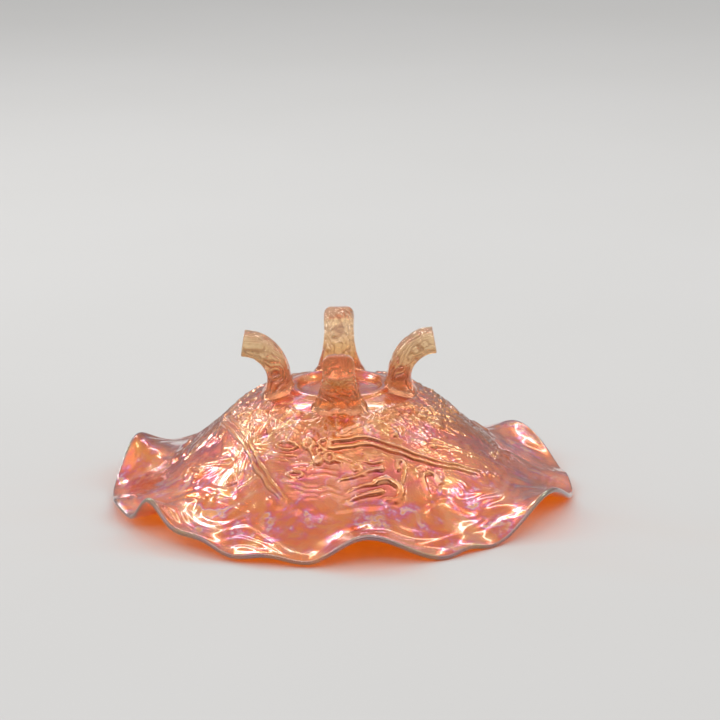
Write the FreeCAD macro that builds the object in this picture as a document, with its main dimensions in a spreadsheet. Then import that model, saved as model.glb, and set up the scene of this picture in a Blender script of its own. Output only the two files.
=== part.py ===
"""Footed, ruffled carnival glass bowl, standing mouth down on its rim with its four twig feet in the air.

The row frame has +Z up and its origin on the supporting surface, under the middle of the bowl. Angles round
the bowl are measured from the front, which is -Y, towards +X. Lengths are millimetres.

The bowl is one pressing of glass. Each member that the mould forms is a solid of its own, and neighbours
meet face to face: the centre medallion and the foot ring of the base, the patterned wall, the ruffled rim
that was crimped while the glass was hot, and the four feet.
"""

import FreeCAD, Part

import math
import os

import Sketcher

V = FreeCAD.Vector
OUT = "parts"

# Alias, value and meaning of each driving dimension.
DIMENSIONS = [
    ("medallion_radius", 24.0, "recessed disc inside the foot ring"),
    ("medallion_thickness", 3.2, "glass at the middle of the base"),
    ("ring_radius", 31.0, "outside of the foot ring"),
    ("ring_top", 66.6, "highest line of the foot ring"),
    ("ring_round", 1.9, "rounding of the foot ring's two edges"),
    ("shoulder_top", 64.4, "where the wall starts at the foot ring"),
    ("shoulder_radius", 60.0, "arc between the base and the straight wall"),
    ("shoulder_centre", 22.0, "distance of that arc's centre from the axis"),
    ("wall_thickness", 4.6, "glass in the patterned wall"),
    ("joint_radius", 92.0, "where the patterned wall becomes the ruffled rim"),
    ("joint_height", 25.0, "height of that line on the outside"),
    ("rim_radius", 131.0, "mean radius of the rim"),
    ("rim_oval", 2.5, "how much wider the rim is to the sides than to the front"),
    ("lip_thickness", 3.4, "glass at the rounded edge"),
    ("stand_height", 98.0, "plane of the four ground foot tips"),
]

# The flat inside floor is where the inside of the wall's arc reaches the foot ring.
ACROSS = "(Dimensions.ring_radius - Dimensions.shoulder_centre)"
INSIDE_RADIUS = "(Dimensions.shoulder_radius - Dimensions.wall_thickness)"
INSIDE_FLOOR = (
    f"Dimensions.shoulder_top - sqrt(Dimensions.shoulder_radius ^ 2 - {ACROSS} ^ 2)"
    f" + sqrt({INSIDE_RADIUS} ^ 2 - {ACROSS} ^ 2)"
)

# The hand-crimped edge. Each ruffle has a crest and, before the next one, two low places with a small crimp
# between them; the last valley has one more. Angle in degrees, height of the edge over the surface that the
# bowl stands on, and how far the edge reaches past the mean radius.
RUFFLES = {
    "ruffle_1": [(6.0, 15.5, -0.5), (26.0, -0.4, 2.0), (32.5, 2.7, 0.0), (39.5, -0.5, 0.0)],
    "ruffle_2": [(60.0, 18.5, 1.5), (82.0, 1.0, 1.0), (91.0, 4.5, -1.5), (100.0, 1.0, -1.5)],
    "ruffle_3": [(124.0, 15.5, -1.5), (140.0, 4.0, 0.0), (151.0, 5.5, -1.0), (163.0, 1.5, 0.0)],
    "ruffle_4": [(187.0, 17.0, -1.0), (206.0, 2.5, 0.0), (215.5, 4.5, 0.0), (227.0, 3.0, 1.5)],
    "ruffle_5": [
        (256.0, 24.0, -7.0),
        (269.0, 1.5, -1.0),
        (279.0, 2.5, -1.0),
        (287.0, 8.0, 1.5),
        (297.0, 5.0, 0.0),
    ],
    "ruffle_6": [
        (306.0, 22.5, 0.0),
        (316.0, 9.5, 1.0),
        (324.0, 8.5, 0.0),
        (333.0, 1.5, 1.0),
        (342.0, 4.5, 0.0),
        (351.5, 1.0, 0.0),
    ],
}

# Sections of one foot from root to tip: reach from the axis, height, lean in degrees, half width and half
# depth. The root flares out where the foot runs into the ring and the wall.
FOOT_SECTIONS = [
    (35.4, 60.2, 0.0, 15.8, 9.4),
    (35.0, 64.0, 0.0, 14.4, 8.2),
    (34.8, 69.0, 4.0, 12.4, 7.2),
    (35.7, 75.5, 16.0, 10.3, 6.8),
    (38.6, 81.8, 35.0, 9.3, 7.0),
    (43.3, 87.0, 54.0, 8.9, 7.3),
    (49.0, 90.3, 71.0, 9.0, 7.4),
    (55.2, 91.4, 80.0, 9.2, 7.2),
]
FOOT_NAMES = ["foot_front", "foot_right", "foot_back", "foot_left"]

SECTION_POLES = 7  # along the ruffled rim, from the joint to the lip's centre
LIP_POLES = 5  # round the lip
RIM_POLES = 120  # round the bowl


def make_sheet(doc):
    """Returns the spreadsheet that holds every driving dimension under its alias."""
    sheet = doc.addObject("Spreadsheet::Sheet", "Dimensions")
    rows = list(DIMENSIONS)
    for name, places in RUFFLES.items():
        for i, place in enumerate(places):
            for part, value in zip(("angle", "height", "reach"), place):
                meaning = f"{part} of place {i} after the crest" if i else f"{part} of the crest"
                rows.append((f"{name}_{i}_{part}", value, meaning))
    for i, section in enumerate(FOOT_SECTIONS, 1):
        for part, value in zip(("reach", "rise", "lean", "width", "depth"), section):
            rows.append((f"twig_{i}_{part}", value, f"section {i} of a foot"))
    for row, (alias, value, meaning) in enumerate(rows, 1):
        sheet.set(f"A{row}", alias)
        sheet.set(f"B{row}", str(value))
        sheet.set(f"C{row}", meaning)
        sheet.setAlias(f"B{row}", alias)
    doc.recompute()
    return sheet


def bind(target, **paths):
    """Binds each property path of the object to an expression in the sheet's aliases."""
    for path, expression in paths.items():
        target.setExpression(path.replace("__", "."), expression)


def new_body(doc, name):
    """A PartDesign body whose label is its node's name."""
    body = doc.addObject("PartDesign::Body", name)
    body.Label = name
    return body


def section_sketch(body, name, plane="XZ_Plane"):
    """A sketch on one of the body's own origin planes."""
    sketch = body.newObject("Sketcher::SketchObject", name)
    support = next(f for f in body.Origin.OriginFeatures if f.Role == plane)
    sketch.AttachmentSupport = (support, [""])
    sketch.MapMode = "FlatFace"
    return sketch


def drive(sketch, name, expression, *constraint):
    """Adds a dimension to the sketch, names it and binds it to the sheet."""
    index = sketch.addConstraint(Sketcher.Constraint(*constraint))
    sketch.renameConstraint(index, name)
    sketch.setExpression(f"Constraints.{name}", expression)


def revolve(body, sketch):
    """Turns the section once round the body's Z axis."""
    turned = body.newObject("PartDesign::Revolution", sketch.Name + "_turned")
    turned.Profile = sketch
    turned.ReferenceAxis = (sketch, ["V_Axis"])
    turned.Angle = 360
    sketch.Visibility = False
    return turned


def inside_floor(sheet):
    """Height of the bowl's flat inside floor."""
    across = sheet.ring_radius - sheet.shoulder_centre
    outer = math.sqrt(sheet.shoulder_radius**2 - across**2)
    inner = math.sqrt((sheet.shoulder_radius - sheet.wall_thickness) ** 2 - across**2)
    return sheet.shoulder_top - outer + inner


def make_medallion(doc, sheet):
    """The flat disc inside the foot ring, whose underside is the bowl's inside floor."""
    body = new_body(doc, "centre_medallion")
    sketch = section_sketch(body, "medallion_outline", "XY_Plane")
    sketch.addGeometry(Part.Circle(V(0, 0, 0), V(0, 0, 1), sheet.medallion_radius))
    sketch.addConstraint(Sketcher.Constraint("Coincident", 0, 3, -1, 1))
    drive(sketch, "radius", "Dimensions.medallion_radius", "Radius", 0, sheet.medallion_radius)
    pad = body.newObject("PartDesign::Pad", "medallion_disc")
    pad.Profile = sketch
    bind(pad, Length="Dimensions.medallion_thickness")
    bind(body, Placement__Base__z=INSIDE_FLOOR)
    return body


def make_ring(doc, sheet):
    """The raised ring round the medallion, which the feet grow out of."""
    body = new_body(doc, "foot_ring")
    sketch = section_sketch(body, "ring_section")
    low, high = inside_floor(sheet), sheet.ring_top
    inner, outer = sheet.medallion_radius, sheet.ring_radius
    corners = [V(inner, low, 0), V(outer, low, 0), V(outer, high, 0), V(inner, high, 0)]
    for here, there in zip(corners, corners[1:] + corners[:1]):
        sketch.addGeometry(Part.LineSegment(here, there))
    for i in range(4):
        sketch.addConstraint(Sketcher.Constraint("Coincident", i, 2, (i + 1) % 4, 1))
        sketch.addConstraint(Sketcher.Constraint("Vertical" if i % 2 else "Horizontal", i))
    drive(sketch, "inner", "Dimensions.medallion_radius", "DistanceX", -1, 1, 0, 1, inner)
    drive(sketch, "outer", "Dimensions.ring_radius", "DistanceX", -1, 1, 0, 2, outer)
    drive(sketch, "low", INSIDE_FLOOR, "DistanceY", -1, 1, 0, 1, low)
    drive(sketch, "high", "Dimensions.ring_top", "DistanceY", -1, 1, 2, 1, high)
    turned = revolve(body, sketch)
    doc.recompute()
    rounds = [
        f"Edge{i}"
        for i, edge in enumerate(turned.Shape.Edges, 1)
        if edge.BoundBox.ZMin > high - 0.01 and edge.Closed
    ]
    fillet = body.newObject("PartDesign::Fillet", "ring_rounds")
    fillet.Base = (turned, rounds)
    bind(fillet, Radius="Dimensions.ring_round")
    body.Tip = fillet
    return body


def make_wall(doc, sheet):
    """The patterned wall: a shoulder arc and a straight cone of even thickness, turned round the axis."""
    body = new_body(doc, "bowl_wall")
    sketch = section_sketch(body, "wall_section")
    radius, thick = sheet.shoulder_radius, sheet.wall_thickness
    start = V(sheet.ring_radius, sheet.shoulder_top, 0)
    across = sheet.ring_radius - sheet.shoulder_centre
    centre = V(sheet.shoulder_centre, start.y - math.sqrt(radius**2 - across**2), 0)
    joint = V(sheet.joint_radius, sheet.joint_height, 0)
    span = (joint - centre).Length
    lean = math.atan2(joint.y - centre.y, joint.x - centre.x) + math.acos(radius / span)
    outward = V(math.cos(lean), math.sin(lean), 0)
    first = math.acos(across / radius)
    last = math.acos(across / (radius - thick))
    up = V(0, 0, 1)
    outer_arc = Part.ArcOfCircle(Part.Circle(centre, up, radius), lean, first)
    inner_arc = Part.ArcOfCircle(Part.Circle(centre, up, radius - thick), lean, last)
    inner_joint = joint - outward * thick
    sketch.addGeometry(outer_arc)
    sketch.addGeometry(Part.LineSegment(centre + outward * radius, joint))
    sketch.addGeometry(Part.LineSegment(joint, inner_joint))
    sketch.addGeometry(Part.LineSegment(inner_joint, centre + outward * (radius - thick)))
    sketch.addGeometry(inner_arc)
    foot = V(start.x, centre.y + (radius - thick) * math.sin(last), 0)
    sketch.addGeometry(Part.LineSegment(foot, start))
    for constraint in [
        ("Tangent", 0, 1, 1, 1),
        ("Coincident", 1, 2, 2, 1),
        ("Coincident", 2, 2, 3, 1),
        ("Tangent", 3, 2, 4, 1),
        ("Coincident", 4, 2, 5, 1),
        ("Coincident", 5, 2, 0, 2),
        ("Coincident", 0, 3, 4, 3),
        ("Perpendicular", 1, 2),
        ("Parallel", 1, 3),
        ("Vertical", 5),
    ]:
        sketch.addConstraint(Sketcher.Constraint(*constraint))
    drive(sketch, "shoulder", "Dimensions.shoulder_radius", "Radius", 0, radius)
    drive(sketch, "inside", INSIDE_RADIUS, "Radius", 4, radius - thick)
    drive(sketch, "start_x", "Dimensions.ring_radius", "DistanceX", -1, 1, 5, 2, start.x)
    drive(sketch, "start_z", "Dimensions.shoulder_top", "DistanceY", -1, 1, 5, 2, start.y)
    drive(sketch, "centre_x", "Dimensions.shoulder_centre", "DistanceX", -1, 1, 0, 3, centre.x)
    drive(sketch, "joint_x", "Dimensions.joint_radius", "DistanceX", -1, 1, 1, 2, joint.x)
    drive(sketch, "joint_z", "Dimensions.joint_height", "DistanceY", -1, 1, 1, 2, joint.y)
    body.Tip = revolve(body, sketch)
    return body, outward


def rim_places(sheet):
    """Angle, height and reach of each named place on the rim, in order round the bowl."""
    names = [f"{name}_{i}" for name, places in RUFFLES.items() for i in range(len(places))]
    parts = ("angle", "height", "reach")
    return [tuple(getattr(sheet, f"{name}_{part}") for part in parts) for name in names]


def rim_at(places, angle, column):
    """Height (column 1) or reach (column 2) of the rim at an angle, level at each turning place."""
    count = len(places)
    angle = (angle - places[0][0]) % 360 + places[0][0]
    here = max(i for i in range(count) if places[i][0] <= angle)

    def place(i):
        turns, k = divmod(i, count)
        return places[k][0] + 360 * turns, places[k][column]

    def slope(i):
        (a0, v0), (a1, v1), (a2, v2) = place(i - 1), place(i), place(i + 1)
        before, after = (v1 - v0) / (a1 - a0), (v2 - v1) / (a2 - a1)
        return 2 * before * after / (before + after) if before * after > 0 else 0.0

    (start, first), (end, last) = place(here), place(here + 1)
    width = end - start
    u = (angle - start) / width
    value = first * (1 + 2 * u) * (1 - u) ** 2 + last * u * u * (3 - 2 * u)
    return value + width * u * (1 - u) * (slope(here) * (1 - u) - slope(here + 1) * u)


def rim_section(sheet, places, outward, angle):
    """Poles of the ruffled rim's section at one angle: along the outside, round the lip and back inside."""
    rise = rim_at(places, angle, 1)
    lip = sheet.lip_thickness / 2
    oval = -sheet.rim_oval * math.cos(2 * math.radians(angle))
    end = sheet.rim_radius + oval + rim_at(places, angle, 2)
    middle = V(sheet.joint_radius, sheet.joint_height, 0) - outward * (sheet.wall_thickness / 2)
    fall = outward.x / outward.y
    lift = rise + lip - (middle.y - (end - middle.x) * fall)
    line = []
    for i in range(SECTION_POLES):
        share = i / (SECTION_POLES - 1)
        reach = middle.x + (end - middle.x) * share
        height = middle.y - (reach - middle.x) * fall + lift * share**2
        slope = -fall + lift * 2 * share / (end - middle.x)
        normal = V(-slope, 1, 0).normalize()
        half = (sheet.wall_thickness * (1 - share) + sheet.lip_thickness * share) / 2
        line.append((V(reach, height, 0), normal, half))
    outside = [p + n * half for p, n, half in line]
    inside = [p - n * half for p, n, half in reversed(line)]
    tip, normal, half = line[-1]
    ahead = V(normal.y, -normal.x, 0)
    around = []
    for i in range(1, LIP_POLES + 1):
        turn = math.pi * i / (LIP_POLES + 1)
        around.append(tip + normal * (half * math.cos(turn)) + ahead * (half * math.sin(turn)))
    return outside + around + inside


def make_rim(doc, sheet, outward):
    """The plain ruffled border, a smooth surface over one closed ring of sections."""
    count = RIM_POLES
    places = rim_places(sheet)
    step = 2 * math.pi / count
    swell = 6 / (4 + 2 * math.cos(step))  # keeps a ring of spline poles on its true circle
    columns = []
    for k in range(count):
        angle = 360 * k / count
        turn = math.radians(angle)
        columns.append(
            [
                V(p.x * swell * math.sin(turn), -p.x * swell * math.cos(turn), p.y)
                for p in rim_section(sheet, places, outward, angle)
            ]
        )
    across = len(columns[0])
    surface = Part.BSplineSurface()
    surface.buildFromPolesMultsKnots(
        columns,
        [1] * (count + 1),
        [4] + [1] * (across - 4) + [4],
        list(range(count + 1)),
        list(range(across - 2)),
        True,
        False,
        3,
        3,
    )
    skin = surface.toShape()
    edges = [e for e in skin.Edges if e.isClosed() and e.BoundBox.ZLength < 0.01]
    joint = Part.makeRuledSurface(edges[0], edges[1])
    shell = Part.makeShell([skin, joint])
    shell.sewShape()
    solid = Part.makeSolid(shell)
    if solid.Volume < 0:
        solid.reverse()
    rim = doc.addObject("Part::Feature", "ruffled_rim")
    rim.Label = "ruffled_rim"
    rim.Shape = solid
    rim.Placement = FreeCAD.Placement()
    return rim


def make_feet(doc, sheet, wall, ring):
    """Four twigs that bend outwards to a cut end: one lofted blank, cut back to the bowl and ground flat."""
    sections = []
    upright = FreeCAD.Rotation(V(0, 0, 1), 90)
    for i in range(1, len(FOOT_SECTIONS) + 1):
        section = doc.addObject("Part::Ellipse", f"twig_section_{i}")
        bind(
            section,
            MajorRadius=f"Dimensions.twig_{i}_width",
            MinorRadius=f"Dimensions.twig_{i}_depth",
            Angle1="90",
            Angle2="450",
            Placement__Base__x=f"Dimensions.twig_{i}_reach",
            Placement__Base__z=f"Dimensions.twig_{i}_rise",
        )
        lean = getattr(sheet, f"twig_{i}_lean")
        section.Placement.Rotation = FreeCAD.Rotation(V(0, 1, 0), lean) * upright
        sections.append(section)
    blank = doc.addObject("Part::Loft", "twig_blank")
    blank.Sections = sections
    blank.Solid = True
    ground = doc.addObject("Part::Box", "ground_off")
    ground.Length, ground.Width, ground.Height = 60, 60, 20
    ground.Placement.Base = V(20, -30, sheet.stand_height)
    bind(ground, Placement__Base__z="Dimensions.stand_height")
    cut = blank
    for name, tool in (("ground_twig", ground), ("twig_on_wall", wall)):
        step = doc.addObject("Part::Cut", name)
        step.Base, step.Tool = cut, tool
        cut = step
    feet = []
    for quarter, name in enumerate(FOOT_NAMES):
        foot = doc.addObject("Part::Cut", name)
        foot.Label = name
        foot.Base, foot.Tool = cut, ring
        foot.Placement = FreeCAD.Placement(V(0, 0, 0), FreeCAD.Rotation(V(0, 0, 1), 90 * (quarter - 1)))
        feet.append(foot)
    return feet


def check(doc, nodes):
    """Stops if any object of the document has failed or any node is not one sound solid."""
    for item in doc.Objects:
        if "Invalid" in item.State or "Error" in item.State:
            raise RuntimeError(f"{item.Name} failed: {item.State}")
    for node in nodes:
        shape = node.Shape
        if shape.isNull() or not shape.isValid() or len(shape.Solids) != 1:
            raise RuntimeError(f"{node.Label} is not one valid solid: {len(shape.Solids)} solids")
        box = shape.BoundBox
        print(f"{node.Label}: {shape.Volume / 1000:.2f} cm3, z {box.ZMin:.3f} to {box.ZMax:.3f}")


def main():
    """Builds the document and writes one STEP file for each node."""
    doc = FreeCAD.newDocument("carnival_glass_bowl")
    sheet = make_sheet(doc)
    medallion = make_medallion(doc, sheet)
    ring = make_ring(doc, sheet)
    wall, outward = make_wall(doc, sheet)
    rim = make_rim(doc, sheet, outward)
    doc.recompute()
    feet = make_feet(doc, sheet, wall, ring)
    doc.recompute()
    nodes = [medallion, ring, wall, rim, *feet]
    check(doc, nodes)
    os.makedirs(OUT, exist_ok=True)
    for node in nodes:
        node.Shape.exportStep(os.path.join(OUT, f"{node.Label}.step"))


main()
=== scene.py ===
"""Looks of a footed carnival glass bowl that stands mouth down on its crimped rim.

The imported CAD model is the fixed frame: +Z is up, the origin is on the surface under the middle of the
bowl, and the front is -Y. Angles round the bowl are degrees from the front towards +X. Sizes in the classes
are in millimetres and become metres when a mesh is made.
"""

import logging
import math
from collections.abc import Sequence
from dataclasses import dataclass, field
from enum import Enum
from functools import partial

import bmesh
import bpy
import numpy as np
from mathutils import Matrix, Vector, noise
from mathutils.kdtree import KDTree


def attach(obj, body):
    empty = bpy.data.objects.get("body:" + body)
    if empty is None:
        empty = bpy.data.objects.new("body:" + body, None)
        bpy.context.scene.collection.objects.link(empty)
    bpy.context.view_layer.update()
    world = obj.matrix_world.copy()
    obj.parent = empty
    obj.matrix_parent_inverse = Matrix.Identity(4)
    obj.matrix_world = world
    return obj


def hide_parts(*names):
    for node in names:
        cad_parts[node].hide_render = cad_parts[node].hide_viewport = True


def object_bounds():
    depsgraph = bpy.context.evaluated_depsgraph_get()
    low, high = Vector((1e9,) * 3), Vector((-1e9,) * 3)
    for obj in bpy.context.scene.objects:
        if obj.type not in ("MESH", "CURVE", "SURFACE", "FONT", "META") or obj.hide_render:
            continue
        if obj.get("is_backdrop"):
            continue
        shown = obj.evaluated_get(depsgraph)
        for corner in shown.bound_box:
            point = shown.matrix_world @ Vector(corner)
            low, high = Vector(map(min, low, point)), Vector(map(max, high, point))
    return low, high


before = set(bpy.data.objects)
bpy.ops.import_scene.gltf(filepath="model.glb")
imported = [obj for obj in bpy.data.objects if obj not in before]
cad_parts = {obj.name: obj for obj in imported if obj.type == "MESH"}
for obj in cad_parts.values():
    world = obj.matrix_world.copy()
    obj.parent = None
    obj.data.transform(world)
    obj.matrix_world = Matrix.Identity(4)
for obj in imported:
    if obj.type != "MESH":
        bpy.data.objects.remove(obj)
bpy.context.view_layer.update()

LOG = logging.getLogger("carnival_bowl")
MM = 0.001
BODY = "root"

Place = tuple[float, float]  # degrees round the bowl, millimetres from its axis
NodeInput = float | Sequence[float] | bpy.types.NodeSocket | bpy.types.Node


# ---- Shared helpers ----


def linear_colour(code: str) -> tuple[float, float, float, float]:
    """Turns an sRGB hex colour into linear values.

    Args:
        code: The colour as "#rrggbb".

    Returns:
        Linear red, green and blue, and an alpha of 1.
    """
    parts = [int(code[i : i + 2], 16) / 255 for i in (1, 3, 5)]
    red, green, blue = (p / 12.92 if p <= 0.04045 else ((p + 0.055) / 1.055) ** 2.4 for p in parts)
    return (red, green, blue, 1.0)


def add_node(
    tree: bpy.types.NodeTree, kind: str, inputs: dict[str | int, NodeInput] | None = None, **settings: object
) -> bpy.types.Node:
    """Adds a node with its settings and links.

    Args:
        tree: The node tree.
        kind: The node's type name, without "ShaderNode".
        inputs: For each input, a value, an output socket, or a node whose first output feeds it.
        settings: The node's own properties.

    Returns:
        The new node.
    """
    made = tree.nodes.new("ShaderNode" + kind)
    for name, value in settings.items():
        setattr(made, name, value)
    for key, value in (inputs or {}).items():
        if isinstance(value, bpy.types.Node):
            value = next(socket for socket in value.outputs if socket.enabled)
        if isinstance(value, bpy.types.NodeSocket):
            tree.links.new(value, made.inputs[key])
        else:
            made.inputs[key].default_value = value
    return made


def colour_stops(ramp: bpy.types.Node, stops: Sequence[tuple[float, str]]) -> bpy.types.Node:
    """Sets a colour ramp's stops.

    Args:
        ramp: The colour ramp node.
        stops: Position and sRGB hex colour of each stop, in order.

    Returns:
        The ramp.
    """
    elements = ramp.color_ramp.elements
    while len(elements) < len(stops):
        elements.new(0.5)
    for element, (position, code) in zip(elements, stops):
        element.position = position
        element.color = linear_colour(code)
    return ramp


def new_material(name: str) -> tuple[bpy.types.Material, partial]:
    """Makes an empty node material.

    Args:
        name: The material's name.

    Returns:
        The material, and add_node for its tree.
    """
    made = bpy.data.materials.new(name)
    made.use_nodes = True
    made.node_tree.nodes.clear()
    return made, partial(add_node, made.node_tree)


def smooth(value: np.ndarray) -> np.ndarray:
    """Eases values from 0 to 1, level at both ends."""
    clipped = np.clip(value, 0.0, 1.0)
    return clipped * clipped * (3 - 2 * clipped)


def through(points: Sequence[Sequence[float]], count: int) -> np.ndarray:
    """Samples a smooth line through some points.

    Args:
        points: The points, of any dimension.
        count: How many samples to take.

    Returns:
        The samples, one row each.
    """
    given = np.asarray(points, float)
    padded = np.vstack([2 * given[0] - given[1], given, 2 * given[-1] - given[-2]])
    places = np.linspace(0, len(given) - 1, count)
    index = np.minimum(places.astype(int), len(given) - 2)
    u = (places - index)[:, None]
    before, start, end, after = (padded[index + k] for k in range(4))
    bend = 2 * before - 5 * start + 4 * end - after
    twist = 3 * start - before - 3 * end + after
    return 0.5 * (2 * start + (end - before) * u + bend * u**2 + twist * u**3)


def spline_weights(count: int, places: np.ndarray) -> np.ndarray:
    """Weights of a clamped cubic spline's poles, for knots one apart.

    Args:
        count: How many poles the spline has.
        places: Where on it, from 0 to count - 3.

    Returns:
        One row of weights for each place.
    """
    knots = np.concatenate([np.zeros(3), np.arange(count - 2), np.full(3, count - 3)]).astype(float)
    places = np.clip(places, 0, count - 3 - 1e-9)
    weights = [(knots[i] <= places) & (places < knots[i + 1]) for i in range(len(knots) - 1)]
    weights = [w.astype(float) for w in weights]
    for degree in (1, 2, 3):
        raised = []
        for i in range(len(weights) - 1):
            left, right = knots[i + degree] - knots[i], knots[i + degree + 1] - knots[i + 1]
            value = np.zeros_like(places)
            if left > 0:
                value = value + (places - knots[i]) / left * weights[i]
            if right > 0:
                value = value + (knots[i + degree + 1] - places) / right * weights[i + 1]
            raised.append(value)
        weights = raised
    return np.stack(weights, axis=1)


def ring_weights(count: int, columns: int) -> np.ndarray:
    """Weights of a closed cubic spline's poles at even places round it.

    Args:
        count: How many poles the ring has.
        columns: How many places to give.

    Returns:
        One row of weights for each place; the first is at the first pole.
    """
    place = np.arange(columns) * count / columns
    first = np.floor(place).astype(int)
    u = place - first
    table = np.zeros((columns, count))
    parts = [(1 - u) ** 3, 3 * u**3 - 6 * u**2 + 4, -3 * u**3 + 3 * u**2 + 3 * u + 1, u**3]
    for offset, part in zip((-1, 0, 1, 2), parts):
        np.add.at(table, (np.arange(columns), (first + offset) % count), part / 6)
    return table


def make_piece(name: str, points: np.ndarray, faces: Sequence[Sequence[int]]) -> bpy.types.Object:
    """Makes a smooth-shaded mesh object with its faces turned outwards.

    Args:
        name: The piece's name.
        points: Vertices in millimetres.
        faces: Vertex numbers of each face.

    Returns:
        The new object, in the scene.
    """
    mesh = bpy.data.meshes.new(name)
    mesh.from_pydata((points * MM).tolist(), [], faces)
    work = bmesh.new()
    work.from_mesh(mesh)
    bmesh.ops.recalc_face_normals(work, faces=work.faces)
    work.to_mesh(mesh)
    work.free()
    mesh.shade_smooth()
    piece = bpy.data.objects.new(name, mesh)
    bpy.context.scene.collection.objects.link(piece)
    return piece


def add_values(piece: bpy.types.Object, name: str, values: Sequence[float]) -> None:
    """Stores one number for each of a piece's vertices, for its finish to read.

    Args:
        piece: The piece.
        name: What the finish knows the numbers by.
        values: The numbers.
    """
    layer = piece.data.attributes.new(name, "FLOAT", "POINT")
    layer.data.foreach_set("value", np.asarray(values, np.float32))


def stitch(start_a: int, count_a: int, start_b: int, count_b: int) -> list[tuple[int, ...]]:
    """Joins two closed rings of vertices, of which one may have twice as many as the other.

    Args:
        start_a: First vertex of the first ring.
        count_a: Vertices in the first ring.
        start_b: First vertex of the second ring.
        count_b: Vertices in the second ring.

    Returns:
        The faces between them.
    """
    if count_a > count_b:
        return [face[::-1] for face in stitch(start_b, count_b, start_a, count_a)]
    faces: list[tuple[int, ...]] = []
    for i in range(count_a):
        here, there = start_a + i, start_a + (i + 1) % count_a
        if count_a == count_b:
            faces.append((here, there, start_b + (i + 1) % count_b, start_b + i))
            continue
        low, middle, high = (start_b + (2 * i + k) % count_b for k in range(3))
        faces += [(here, middle, low), (here, there, middle), (there, high, middle)]
    return faces


# ---- Finishes ----


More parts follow.
